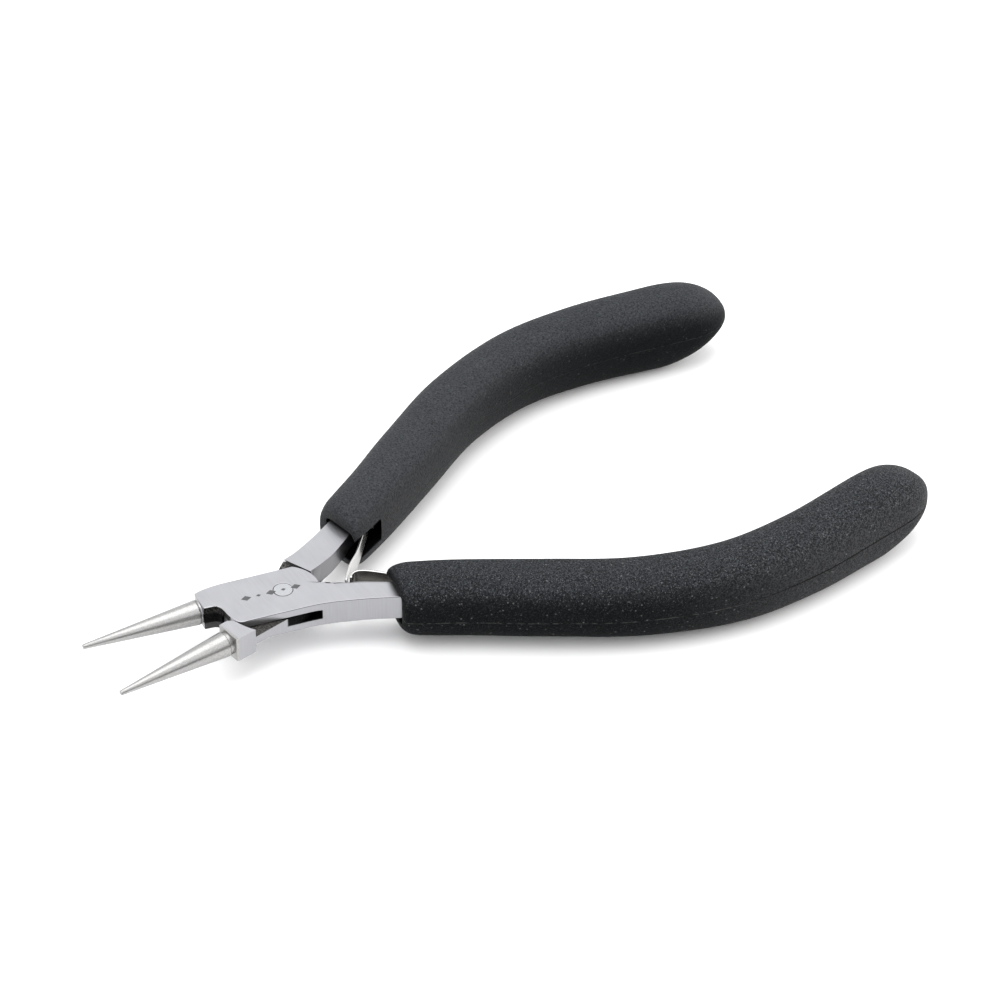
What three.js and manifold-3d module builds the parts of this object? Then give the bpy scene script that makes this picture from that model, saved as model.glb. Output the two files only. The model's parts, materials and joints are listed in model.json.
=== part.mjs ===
// Round nose pliers with a box joint, twin leaf springs and soft grips, in millimetres.
// Both levers are drawn closed, with the pivot at the origin, the jaw at -X above the X axis and the
// handle at +X below it. The inner lever and all that it carries are then turned over about X.
import * as THREE from "three";
import { mergeVertices } from "three/addons/utils/BufferGeometryUtils.js";
import { ParametricGeometry } from "three/addons/geometries/ParametricGeometry.js";
import Module from "manifold-3d";

const wasm = await Module();
wasm.setup();

// Driving dimensions
const HALF_OPENING = THREE.MathUtils.degToRad(10.5); // each lever's turn from closed to open
const METAL = 4.5; // thickness of both levers
const WINDOW_HEIGHT = 1.7; // slot through the outer lever
const TONGUE_HEIGHT = 1.5; // inner lever's neck in that slot
const HEAD_HALF_WIDTH = 5.1;
const CHEEK_FRONT_RADIUS = 10.6; // front end of the cheeks, about the pivot
const CHEEK_REAR_RADIUS = 6.05; // rear end of the cheeks, about the pivot
const JOINT_GAP = 0.15; // between faces that slide past each other
const WINDOW_REAR_RADIUS = 7.25; // rear wall of the slot, about the pivot
const WINDOW_CORNER = 0.4; // rounding of the slot's rear corners
const TONGUE_REAR_RADIUS = 5.5;

const JAW_ROOT_X = -13.75;
const JAW_TIP_X = -33.6;
const JAW_ROOT_RADIUS = 2.12;
const JAW_TIP_RADIUS = 0.42;
const JAW_CLEARANCE = 0.03; // each jaw's distance from the middle when closed
const JAW_GROOVE = 0.15; // width and depth of the relief at the root of a jaw

const RIVET_RADIUS = 1.55;
const RIVET_GAP = 0.05; // running clearance of the pivot rivet
const ROUND_SIDES = 64; // facets of the pivot rivet and its holes

const TANG_HALF_WIDTH = [1.9, 1.6]; // at the head end and at the far end
const TANG_OFFSET = 0.6; // the tang lies this much outside the grip's centreline
const TANG_START = 0.1; // along the centreline, as a share of its length
const TANG_END = 0.84;

const GRIP_SIDES = 36;
const GRIP_RINGS = 44;
const GRIP_POWER = 2.65; // 2 is an ellipse; more is squarer
const GRIP_END_WIDTH_ROUNDING = 8.4; // length of the rounded end, seen from above
const GRIP_END_THICKNESS_ROUNDING = 13.5; // length of the rounded end, seen from the side
const GRIP_FRONT_X = 16.9; // the front opening is square to the closed pliers
const GRIP_FRONT_ROUNDING = 3.2; // length of the rounded front
const GRIP_FRONT_DROP = 1.8; // how much thinner the front is, above and below
const GRIP_FRONT_NARROWING = 0.45; // how much narrower it is on each side
const GRIP_TAPER = 0.5; // a slower thinning towards the front
const GRIP_TAPER_LENGTH = 12;
const GRIP_FLARE = 1.35; // extra width on the outer side at the front
const GRIP_FLARE_LENGTH = 15;
const GRIP_LEAN_LENGTH = 11; // from the front to where the section is square to the centreline
const GRIP_CLEARANCE = 0.35; // between a grip and the metal above and below
const GRIP_SIDE_CLEARANCE = 0.84; // between a grip and the metal at its sides

const LEAF_THICKNESS = 0.4;
const LEAF_WIDTH = 3.0;
const LEAF_SEAT = new THREE.Vector2(23.9, -6.13); // middle of the leaf's riveted foot
const LEAF_SEAT_ANGLE = THREE.MathUtils.degToRad(-20.5); // direction of the tang there
const LEAF_FOOT = 1.6; // from the rivet to the end of the foot
const LEAF_SLOT_HEIGHT = 4.4; // opening for the leaf in the grip
const SMALL_RIVET_RADIUS = 0.7;
const SMALL_RIVET_HEAD_RADIUS = 1.2;
const SMALL_RIVET_HEAD = 0.4;
const SMALL_RIVET_GAP = 0.35; // lets the foot tilt as the leaf flexes

const ARM_START = 6.9; // the bare arm between the head and the grip
const ARM_END = 24;
const ARM_MIDDLE = [-3.15, -8.7]; // Y of its middle at its start and at its end
const ARM_LEAN = 0.75; // how far its inner face leans from bottom to top
const ARM_LEAN_RUN = 2; // length over which the lean begins
const CURVE_STEPS = 12; // facets of each curve in an outline

const point = (x, y) => new THREE.Vector2(x, y);

// The middle line of a grip, from near the head to the rounded end of the handle
const gripLine = new THREE.SplineCurve([
  point(13, -4.2),
  point(25.5, -8.9),
  point(40, -14.6),
  point(54, -19.6),
  point(69, -21.5),
  point(82.3, -19.3),
  point(95, -14.9),
  point(109, -9.6),
]);

function solidFrom(geometry) {
  const bare = geometry.clone();
  bare.deleteAttribute("normal");
  bare.deleteAttribute("uv");
  const merged = mergeVertices(bare, 1e-4);
  const corners = [];
  for (let i = 0; i < merged.index.count; i += 3) {
    const [a, b, c] = [0, 1, 2].map((k) => merged.index.getX(i + k));
    if (a !== b && b !== c && c !== a) corners.push(a, b, c);
  }
  const mesh = new wasm.Mesh({
    numProp: 3,
    vertProperties: merged.attributes.position.array,
    triVerts: new Uint32Array(corners),
  });
  return new wasm.Manifold(mesh);
}

function geometryFrom(solid) {
  const mesh = solid.getMesh();
  const geometry = new THREE.BufferGeometry();
  geometry.setAttribute("position", new THREE.BufferAttribute(mesh.vertProperties, 3));
  geometry.setIndex(new THREE.BufferAttribute(mesh.triVerts, 1));
  const faceted = geometry.toNonIndexed();
  faceted.computeVertexNormals();
  return faceted;
}

function plateGeometry(outline, height) {
  const settings = { depth: height, bevelEnabled: false, curveSegments: CURVE_STEPS };
  return new THREE.ExtrudeGeometry(outline, settings).translate(0, 0, -height / 2);
}

// A plate of the outline's shape, centred on z = 0
function plate(outline, height) {
  return solidFrom(plateGeometry(outline, height));
}

// An upright cylinder through the middle of the metal
function pin(radius, height) {
  const cylinder = new THREE.CylinderGeometry(radius, radius, height, ROUND_SIDES);
  return solidFrom(cylinder.rotateX(Math.PI / 2));
}

// A strip of even or changing width along a plane curve
function ribbon(curve, start, end, steps, halfWidth, offset = 0) {
  const left = [];
  const right = [];
  for (let i = 0; i <= steps; i++) {
    const share = i / steps;
    const along = start + (end - start) * share;
    const middle = curve.getPointAt(along);
    const heading = curve.getTangentAt(along);
    const side = point(-heading.y, heading.x);
    const half = halfWidth(share);
    left.push(middle.clone().addScaledVector(side, half - offset));
    right.push(middle.clone().addScaledVector(side, -half - offset));
  }
  return new THREE.Shape([...right, ...left.reverse()]);
}

const tangHalfWidth = (extra) => (share) =>
  THREE.MathUtils.lerp(TANG_HALF_WIDTH[0], TANG_HALF_WIDTH[1], share) + extra;

function tang() {
  return plate(ribbon(gripLine, TANG_START, TANG_END, 40, tangHalfWidth(0), TANG_OFFSET), METAL);
}

// A round tapering jaw that lies against the middle line when the pliers are closed
function jawCone() {
  const rootY = JAW_ROOT_RADIUS + JAW_CLEARANCE;
  const tipY = JAW_TIP_RADIUS + JAW_CLEARANCE;
  const length = Math.hypot(JAW_TIP_X - JAW_ROOT_X, tipY - rootY);
  const taper = (JAW_ROOT_RADIUS - JAW_TIP_RADIUS) / length;
  const radiusAt = (along) => JAW_ROOT_RADIUS - taper * along;
  const tenon = 1.2; // runs into the head
  const nose = 0.14; // the end is ground nearly flat
  const profile = [
    point(0, -tenon),
    point(JAW_ROOT_RADIUS - JAW_GROOVE, -tenon),
    point(JAW_ROOT_RADIUS - JAW_GROOVE, JAW_GROOVE),
    point(radiusAt(2 * JAW_GROOVE), 2 * JAW_GROOVE),
    point(radiusAt(length - nose), length - nose),
  ];
  for (let i = 1; i <= 4; i++) {
    const turn = (i / 4) * (Math.PI / 2);
    const radius = i === 4 ? 0 : radiusAt(length - nose) * Math.cos(turn);
    profile.push(point(radius, length - nose + nose * Math.sin(turn)));
  }
  const cone = new THREE.LatheGeometry(profile, 48);
  cone.rotateZ(Math.PI / 2); // the tip now points to -X
  cone.rotateZ(Math.atan2(rootY - tipY, JAW_ROOT_X - JAW_TIP_X));
  cone.translate(JAW_ROOT_X, rootY, 0);
  return solidFrom(cone);
}

// The outer edge of a handle from the head to inside its grip, then back along the inner edge
function armEdges(outline) {
  outline.splineThru([point(7.6, -6.05), point(12.3, -7.12), point(17.1, -8.55)]);
  outline.lineTo(ARM_END, -11.0);
  outline.lineTo(ARM_END, -7.0);
  outline.lineTo(18.5, -4.5);
  outline.lineTo(16.4, -3.35);
  outline.splineThru([point(12.1, -1.65), point(9.1, -1.0), point(7.0, -0.7)]);
}

// A lever's plate whose inner face leans outwards at the top, between the head and the grip
function leaningPlate(outline) {
  const geometry = plateGeometry(outline, METAL);
  const place = geometry.getAttribute("position");
  const armMiddle = (x) => THREE.MathUtils.mapLinear(x, ARM_START, ARM_END, ...ARM_MIDDLE);
  for (let i = 0; i < place.count; i++) {
    const [x, y, z] = [place.getX(i), place.getY(i), place.getZ(i)];
    const inner = x > ARM_START && x < ARM_END && y > armMiddle(x);
    const fade = Math.min((x - ARM_START) / ARM_LEAN_RUN, 1);
    if (z > 0 && inner) place.setY(i, y - ARM_LEAN * fade);
  }
  return solidFrom(geometry);
}

// The round rear part of the slot through the outer lever
function windowRear() {
  const half = WINDOW_HEIGHT / 2;
  const profile = [point(0, -half)];
  for (const [height, start] of [[WINDOW_CORNER - half, -90], [half - WINDOW_CORNER, 0]]) {
    for (const degrees of [0, 30, 60, 90]) {
      const turn = THREE.MathUtils.degToRad(start + degrees);
      const radius = WINDOW_REAR_RADIUS - WINDOW_CORNER * (1 - Math.cos(turn));
      profile.push(point(radius, height + WINDOW_CORNER * Math.sin(turn)));
    }
  }
  profile.push(point(0, half));
  return solidFrom(new THREE.LatheGeometry(profile, ROUND_SIDES).rotateX(Math.PI / 2));
}

function outerLever() {
  const edgeAngle = Math.asin(HEAD_HALF_WIDTH / CHEEK_REAR_RADIUS);
  const outline = new THREE.Shape();
  outline.moveTo(-13.35, 0.1);
  outline.lineTo(-11.9, 0.02);
  outline.quadraticCurveTo(-10.85, -0.1, -10.55, -1.4);
  outline.absarc(0, 0, CHEEK_FRONT_RADIUS, Math.PI + 0.13, Math.PI + 0.4, false);
  outline.quadraticCurveTo(-9.35, -5.3, -8.3, -5.4);
  outline.lineTo(2.1, -5.48);
  outline.quadraticCurveTo(3.6, -5.48, 4.9, -5.62);
  armEdges(outline);
  outline.quadraticCurveTo(6.05, -0.75, CHEEK_REAR_RADIUS, 0.1);
  outline.absarc(0, 0, CHEEK_REAR_RADIUS, 0.02, edgeAngle, false);
  outline.lineTo(-9.0, HEAD_HALF_WIDTH);
  outline.quadraticCurveTo(-11.8, 4.95, -13.4, 4.35);
  outline.quadraticCurveTo(-13.75, 4.2, -13.72, 3.9);

  const window = new THREE.Shape();
  window.absarc(0, 0, CHEEK_FRONT_RADIUS, 0, Math.PI + 0.1, false);
  window.lineTo(-13, -1.2);
  window.lineTo(-13, -10);
  window.lineTo(0, -10);
  window.lineTo(0, 0);

  return leaningPlate(outline)
    .add(tang())
    .subtract(plate(window, WINDOW_HEIGHT))
    .subtract(windowRear())
    .subtract(pin(RIVET_RADIUS + RIVET_GAP, METAL + 2))
    .add(jawCone())
    .subtract(smallRivetHole());
}

function innerLever() {
  const blockRadius = CHEEK_FRONT_RADIUS + JOINT_GAP;
  const tongueFront = CHEEK_FRONT_RADIUS - JOINT_GAP;
  const shoulderRadius = CHEEK_REAR_RADIUS + JOINT_GAP;
  const side = 4.8; // the block and the tongue are flush on this side

  const block = new THREE.Shape();
  const blockStart = Math.PI - Math.asin(side / blockRadius);
  block.moveTo(-13.2, JAW_CLEARANCE);
  block.lineTo(-13.45, side - 0.35);
  block.quadraticCurveTo(-13.45, side - 0.05, -13.1, side);
  block.absarc(0, 0, blockRadius, blockStart, Math.PI - 0.13, false);
  block.quadraticCurveTo(-10.95, 0.2, -12.0, JAW_CLEARANCE);

  const tongue = new THREE.Shape();
  const foot = Math.asin(side / TONGUE_REAR_RADIUS);
  tongue.moveTo(-12.0, 1.8);
  tongue.lineTo(-12.0, side);
  tongue.absarc(0, 0, TONGUE_REAR_RADIUS, Math.PI - foot, 0, true);
  tongue.lineTo(8, -1.6);
  tongue.lineTo(8, -5.8);
  tongue.lineTo(5.02, -5.8);
  tongue.quadraticCurveTo(1.5, -5.0, -2.0, -side);
  tongue.absarc(0, 0, tongueFront, Math.PI + Math.asin(side / tongueFront), Math.PI - 0.15, true);

  // The neck thickens from the tongue to the shoulder outside the circle that the cheeks sweep
  const rampRing = new THREE.LatheGeometry(
    [
      point(shoulderRadius, -TONGUE_HEIGHT / 2),
      point(7.7, -METAL / 2),
      point(9, -METAL / 2),
      point(9, METAL / 2),
      point(7.7, METAL / 2),
      point(shoulderRadius, TONGUE_HEIGHT / 2),
      point(shoulderRadius, -TONGUE_HEIGHT / 2),
    ],
    ROUND_SIDES,
  );
  rampRing.rotateX(Math.PI / 2);
  const rampReach = new THREE.Shape([point(5.02, -5.8), point(6.2, -1), point(3, -1), point(2.8, -5.35)]);

  const arm = new THREE.Shape();
  arm.moveTo(5.02, -5.82);
  armEdges(arm);
  arm.quadraticCurveTo(6.5, -0.72, 6.27, -0.55);
  arm.lineTo(5.88, -2.2);

  const neck = solidFrom(rampRing).intersect(plate(rampReach, METAL));
  return leaningPlate(arm)
    .add(tang())
    .add(plate(tongue, TONGUE_HEIGHT))
    .add(neck)
    .add(plate(block, METAL))
    .subtract(pin(RIVET_RADIUS + 2 * RIVET_GAP, METAL))
    .add(jawCone())
    .subtract(smallRivetHole());
}

// Places a shape built along Y so that it stands on the tang's inner face at the leaf's foot
function atLeafSeat(geometry) {
  return geometry.rotateZ(LEAF_SEAT_ANGLE).translate(LEAF_SEAT.x, LEAF_SEAT.y, 0);
}

function smallRivetHole() {
  const radius = SMALL_RIVET_RADIUS + 0.1;
  return solidFrom(atLeafSeat(new THREE.CylinderGeometry(radius, radius, 12, 24).translate(0, -6, 0)));
}

function smallRivet() {
  const under = LEAF_THICKNESS / 2 + SMALL_RIVET_GAP; // underside of the head
  const profile = [
    point(0, -4.6),
    point(SMALL_RIVET_RADIUS, -4.6),
    point(SMALL_RIVET_RADIUS, under),
    point(SMALL_RIVET_HEAD_RADIUS, under),
    point(SMALL_RIVET_HEAD_RADIUS, under + SMALL_RIVET_HEAD / 2),
    point(SMALL_RIVET_HEAD_RADIUS * 0.7, under + SMALL_RIVET_HEAD),
    point(0, under + SMALL_RIVET_HEAD),
  ];
  return solidFrom(atLeafSeat(new THREE.LatheGeometry(profile, 24)));
}

// A leaf: its foot lies along the tang, and its free arm runs to the other lever's leaf
function leafSpring(arm) {
  const along = point(Math.cos(LEAF_SEAT_ANGLE), Math.sin(LEAF_SEAT_ANGLE));
  const path = new THREE.CurvePath();
  const heel = LEAF_SEAT.clone().addScaledVector(along, LEAF_FOOT);
  const toe = LEAF_SEAT.clone().addScaledVector(along, -LEAF_FOOT * 0.8);
  path.add(new THREE.LineCurve(heel, toe));
  const bendEnd = arm.getPointAt(0);
  const bend = toe.clone().addScaledVector(along, -0.5);
  path.add(new THREE.QuadraticBezierCurve(toe, bend, bendEnd));
  path.add(arm);
  const strip = plate(ribbon(path, 0, 1, 60, () => LEAF_THICKNESS / 2), LEAF_WIDTH);
  const holeRadius = SMALL_RIVET_RADIUS + SMALL_RIVET_GAP;
  const hole = new THREE.CylinderGeometry(holeRadius, holeRadius, 2, 24);
  return strip.subtract(solidFrom(atLeafSeat(hole)));
}

// The outer lever's leaf ends in a curl that the other leaf slides on
function curledArm() {
  return new THREE.SplineCurve([
    point(21.7, -4.9),
    point(17.9, -1.5),
    point(15.3, 0.3),
    point(14.1, 0.95),
    point(13.1, 1.2),
    point(12.2, 0.95),
    point(11.7, 0.35),
    point(11.55, -0.1),
  ]);
}

// The inner lever's leaf runs nearly straight, with its free end close to the head
function plainArm() {
  return new THREE.SplineCurve([
    point(21.7, -4.9),
    point(18.6, -2.45),
    point(15.7, -0.15),
    point(12.6, 1.75),
    point(9.8, 4.08),
  ]);
}

// A curve through heights that lie evenly spaced along the grip
const profile = (heights) => new THREE.SplineCurve(heights.map((height, i) => point(i, height)));
const gripHalfWidth = profile([3.87, 4.85, 5.42, 5.45, 5.42, 5.52, 5.62, 5.7, 5.81]);
const gripHalfThickness = profile([6.24, 6.1, 6.91, 7.55]);

// A quarter ellipse: 0 at an end, rising to 1 at the given length from it
function endRounding(distance, length) {
  const reach = Math.min(distance / length, 1);
  return Math.sqrt(Math.max(0, 1 - (1 - reach) ** 2));
}

// Falls from 1 at the front to 0 at the given length behind it
const fading = (distance, length, power) => Math.max(0, 1 - distance / length) ** power;

// Where the centreline passes the front opening, as a share of its length
function gripFrontShare() {
  const steps = 1000;
  let step = 0;
  while (gripLine.getPointAt(step / steps).x < GRIP_FRONT_X) step += 1;
  return step / steps;
}

// The grip's half width on each side and its half thickness, at a distance behind its front
function gripSection(distance, length, share) {
  const toEnd = length - distance;
  const drop = 1 - endRounding(distance, GRIP_FRONT_ROUNDING);
  const inner =
    gripHalfWidth.getPoint(share).y * endRounding(toEnd, GRIP_END_WIDTH_ROUNDING) -
    GRIP_FRONT_NARROWING * drop;
  const outer = inner + GRIP_FLARE * fading(distance, GRIP_FLARE_LENGTH, 1.6);
  const thickness =
    gripHalfThickness.getPoint(share).y * endRounding(toEnd, GRIP_END_THICKNESS_ROUNDING) -
    GRIP_FRONT_DROP * drop -
    GRIP_TAPER * fading(distance, GRIP_TAPER_LENGTH, 2);
  return { inner, outer, thickness };
}

function gripSkin() {
  const front = gripFrontShare();
  const length = gripLine.getLength() * (1 - front);
  const frontHeading = gripLine.getTangentAt(front);
  const frontLean = -frontHeading.y / frontHeading.x;
  const signedPower = (value) => Math.sign(value) * Math.abs(value) ** (2 / GRIP_POWER);
  const frontFace = 1 / GRIP_RINGS; // the first ring of faces closes the front
  const surface = (u, v, target) => {
    const closing = u < frontFace / 2;
    const ring = Math.max(0, (u - frontFace) / (1 - frontFace));
    const along = (1 - Math.cos(Math.PI * ring)) / 2; // rings lie closer towards both ends
    const distance = along * length;
    const share = front + (1 - front) * along;
    const middle = gripLine.getPointAt(share);
    const heading = gripLine.getTangentAt(share);
    const size = gripSection(distance, length, share);
    const turn = 2 * Math.PI * v;
    const half = Math.cos(turn) > 0 ? size.outer : size.inner;
    const across = closing ? 0 : half * signedPower(Math.cos(turn));
    const up = closing ? 0 : size.thickness * signedPower(Math.sin(turn));
    const back = across * frontLean * fading(distance, GRIP_LEAN_LENGTH, 1.5);
    target.set(
      middle.x + heading.y * across + heading.x * back,
      middle.y - heading.x * across + heading.y * back,
      up,
    );
  };
  return solidFrom(new ParametricGeometry(surface, GRIP_RINGS, GRIP_SIDES));
}

// The opening on the grip's inner side that the leaf moves in
function leafSlot() {
  const outline = new THREE.Shape([
    point(11, 2.5),
    point(23.1, -0.8),
    point(23.3, -3.4),
    point(24.3, -4.75),
    point(25.9, -5.4),
    point(27.0, -6.3),
    point(27.4, -8.4),
    point(11, -3),
  ]);
  return plate(outline, LEAF_SLOT_HEIGHT);
}

function grip() {
  const halfWidth = tangHalfWidth(GRIP_SIDE_CLEARANCE);
  const outline = ribbon(gripLine, 0, TANG_END + 0.01, 44, halfWidth, TANG_OFFSET / 2);
  const hollow = plate(outline, METAL + 2 * GRIP_CLEARANCE);
  return gripSkin().subtract(hollow).subtract(leafSlot());
}

function named(name, solid, material) {
  const mesh = new THREE.Mesh(geometryFrom(solid), material);
  mesh.name = name;
  return mesh;
}

const steel = () => new THREE.MeshStandardMaterial({ color: 0xc8cace, roughness: 0.35, metalness: 1 });
const rivetSteel = () => new THREE.MeshStandardMaterial({ color: 0xb4b7bc, roughness: 0.4, metalness: 1 });
const springSteel = () => new THREE.MeshStandardMaterial({ color: 0x9a9690, roughness: 0.3, metalness: 1 });
const rubber = () => new THREE.MeshStandardMaterial({ color: 0x37393b, roughness: 0.85, metalness: 0 });

const outerSide = new THREE.Group();
outerSide.add(named("outer_lever", outerLever(), steel()));
outerSide.add(named("pivot_rivet", pin(RIVET_RADIUS, METAL), rivetSteel()));
outerSide.add(named("outer_leaf_spring", leafSpring(curledArm()), springSteel()));
outerSide.add(named("outer_spring_rivet", smallRivet(), rivetSteel()));
outerSide.add(named("outer_grip", grip(), rubber()));
outerSide.rotation.z = -HALF_OPENING;

const innerSide = new THREE.Group();
innerSide.add(named("inner_lever", innerLever(), steel()));
innerSide.add(named("inner_leaf_spring", leafSpring(plainArm()), springSteel()));
innerSide.add(named("inner_spring_rivet", smallRivet(), rivetSteel()));
innerSide.add(named("inner_grip", grip(), rubber()));
innerSide.rotation.x = Math.PI;

const innerTurned = new THREE.Group();
innerTurned.add(innerSide);
innerTurned.rotation.z = HALF_OPENING;

// The origin is the middle of the pivot on the top face of the joint
const pliers = new THREE.Group();
pliers.add(outerSide, innerTurned);
pliers.position.z = -METAL / 2;
pliers.updateMatrixWorld(true);

export default pliers;
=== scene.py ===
"""Looks for the round nose pliers: satin steel levers, moulded rubber grips, leaf springs and studio."""

import json
import math

import bmesh
import bpy
import numpy as np
from mathutils import Matrix, Vector


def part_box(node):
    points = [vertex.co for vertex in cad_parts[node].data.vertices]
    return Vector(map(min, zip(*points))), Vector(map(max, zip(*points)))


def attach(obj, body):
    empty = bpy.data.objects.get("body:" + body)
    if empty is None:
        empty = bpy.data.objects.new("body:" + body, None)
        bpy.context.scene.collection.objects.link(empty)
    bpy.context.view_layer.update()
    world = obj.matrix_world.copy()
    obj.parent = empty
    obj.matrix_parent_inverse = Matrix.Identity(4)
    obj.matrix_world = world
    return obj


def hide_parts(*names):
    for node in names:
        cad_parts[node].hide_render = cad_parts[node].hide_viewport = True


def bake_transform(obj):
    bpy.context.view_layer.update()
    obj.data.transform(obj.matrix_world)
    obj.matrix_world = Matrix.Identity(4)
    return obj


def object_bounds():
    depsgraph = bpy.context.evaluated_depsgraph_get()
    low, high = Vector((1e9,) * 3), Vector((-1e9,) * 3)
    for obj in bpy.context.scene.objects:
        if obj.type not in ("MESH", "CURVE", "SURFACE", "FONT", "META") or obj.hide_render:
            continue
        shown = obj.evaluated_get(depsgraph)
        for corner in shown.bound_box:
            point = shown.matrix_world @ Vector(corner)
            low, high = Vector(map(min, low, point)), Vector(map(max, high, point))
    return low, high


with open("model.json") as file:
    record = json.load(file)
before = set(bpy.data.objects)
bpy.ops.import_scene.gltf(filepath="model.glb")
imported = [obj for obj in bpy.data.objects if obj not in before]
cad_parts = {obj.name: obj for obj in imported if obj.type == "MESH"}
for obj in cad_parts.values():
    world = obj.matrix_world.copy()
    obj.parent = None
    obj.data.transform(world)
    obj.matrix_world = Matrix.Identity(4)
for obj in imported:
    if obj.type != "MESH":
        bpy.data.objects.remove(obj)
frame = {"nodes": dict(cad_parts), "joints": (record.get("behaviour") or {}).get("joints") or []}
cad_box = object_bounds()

MM = 0.001
WELD_REACH = 2e-6
FLAT_ANGLE = math.radians(0.6)  # faces this close to one plane are one face
SCENE = bpy.context.scene
JOINTS = {joint["name"]: joint for joint in frame["joints"]}

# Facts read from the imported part
HALF_OPENING = math.radians(JOINTS["pivot"]["range_deg"][1] / 2)
LEVER_LOW, LEVER_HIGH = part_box("outer_lever")
METAL = LEVER_HIGH.z - LEVER_LOW.z
METAL_MIDDLE = (LEVER_HIGH.z + LEVER_LOW.z) / 2
FLOOR_HEIGHT = cad_box[0].z

# Each side is described closed, with the pivot at the origin, its jaw at -X above the X axis and its
# handle at +X below it. These place it in the row frame. The inner side is the same, turned over.
TO_MIDDLE = Matrix.Translation((0, 0, METAL_MIDDLE))
PLACE = {
    "outer": TO_MIDDLE @ Matrix.Rotation(-HALF_OPENING, 4, "Z"),
    "inner": TO_MIDDLE @ Matrix.Rotation(HALF_OPENING, 4, "Z") @ Matrix.Rotation(math.pi, 4, "X"),
}

# The grip's centreline and section, as in the CAD part
GRIP_LINE = [
    (13, -4.2), (25.5, -8.9), (40, -14.6), (54, -19.6),
    (69, -21.5), (82.3, -19.3), (95, -14.9), (109, -9.6),
]
GRIP_HALF_WIDTH = [3.87, 4.85, 5.42, 5.45, 5.42, 5.52, 5.62, 5.7, 5.81]  # evenly spaced along the line
GRIP_HALF_THICKNESS = [6.24, 6.1, 6.91, 7.55]
GRIP_POWER = 2.65
GRIP_FIT = 0.025  # keeps the smooth skin within the faceted one of the CAD part
GRIP_END_WIDTH_ROUNDING = 8.4
GRIP_END_THICKNESS_ROUNDING = 13.5
GRIP_END_UNDERCUT = 1.75  # power of the end's lower half, which is less round than the upper
GRIP_FRONT_X = 16.9  # the front opening lies in this plane, square to the closed pliers
FRONT_DROP = 1.8  # how much lower the skin is at the front opening
FRONT_ROUNDING = 3.2  # length over which it rises to its full height
FRONT_NARROWING = 0.45
FRONT_TAPER = 0.5  # the slower thinning towards the front
FRONT_TAPER_LENGTH = 12
FRONT_FLARE = 1.35  # extra width on the outer side, at the front
FRONT_FLARE_LENGTH = 15
FRONT_FLARE_POWER = 1.6
FRONT_LEAN_LENGTH = 11  # length over which the sections turn square to the line
FRONT_LEAN_POWER = 1.5
LIP_RADIUS = 0.22
MOUTH_HIGH = 2.62  # the hollow at the front, about the middle of the metal
MOUTH_LOW = -3.2
MOUTH_OUTER = -3.45
MOUTH_INNER = 2.75
MOUTH_CORNER = 0.9
SLOT_HALF_HEIGHT = 2.25  # the leaf spring's slot, where it cuts the skin
SLOT_LENGTH = 6.0
SLOT_UNDERCUT = 0.35  # the slot widens inwards
SLOT_UNDERCUT_LENGTH = 2.4
SLOT_MARGIN = 0.12  # of hollow wall left above and below the slot
HOLLOW_DEPTH = 13.0
SLOT_COUNT = 14  # points across the slot in each ring of the mesh
REST_COUNT = 98  # points round the rest of the ring
RING_COUNT = SLOT_COUNT + REST_COUNT

# The rings' distances behind the front plane, from the hollow's floor to its mouth, then along the skin
HOLLOW_RINGS = [HOLLOW_DEPTH, 10.5, SLOT_LENGTH + SLOT_UNDERCUT_LENGTH, 7, 5.4, 4, 2.8, 1.8, 1.0, 0.45]
NEAR_RINGS = [LIP_RADIUS, 0.45, 0.75, 1.1, 1.5, 2.0, 2.5, 3.1, 3.8, 4.5, 5.25, SLOT_LENGTH]
SKIN_RINGS = 120  # behind the slot
SKIN_CROWDING = 1.6  # they lie closer together towards the round end
SLOT_FIRST = 2  # the ring where the slot ends inside the hollow
FRONT_SKIN = len(HOLLOW_RINGS) + 2  # the first ring of the skin
SLOT_LAST = FRONT_SKIN + 1 + len(NEAR_RINGS)  # the ring where the slot ends on the skin


# ---------------------------------------------------------------- curves


def spline_point(knots, share):
    """Uniform Catmull-Rom through the knots, the curve the CAD part uses."""
    knots = np.asarray(knots, float)
    last = len(knots) - 1
    at = min(max(share, 0.0), 1.0) * last
    k = min(int(at), last - 1) if at < last else last
    t = at - k
    p0, p1, p2, p3 = (knots[min(max(i, 0), last)] for i in (k - 1, k, k + 1, k + 2))
    v0, v1 = (p2 - p0) / 2, (p3 - p1) / 2
    return (2 * p1 - 2 * p2 + v0 + v1) * t**3 + (-3 * p1 + 3 * p2 - 2 * v0 - v1) * t**2 + v0 * t + p1


class Route:
    """A plane curve walked by its own length, in mm."""

    def __init__(self, points):
        self.points = np.asarray(points, float)
        steps = np.hypot(*np.diff(self.points, axis=0).T)
        self.walked = np.concatenate([[0], np.cumsum(steps)])
        self.length = self.walked[-1]

    def at(self, distance):
        return np.array([np.interp(distance, self.walked, self.points[:, i]) for i in (0, 1)])

    def heading(self, distance, reach=0.05):
        step = self.at(min(distance + reach, self.length)) - self.at(max(distance - reach, 0))
        return step / np.hypot(*step)


def grip_route():
    return Route([spline_point(GRIP_LINE, i / 1400) for i in range(1401)])


# ---------------------------------------------------------------- meshes


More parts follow.
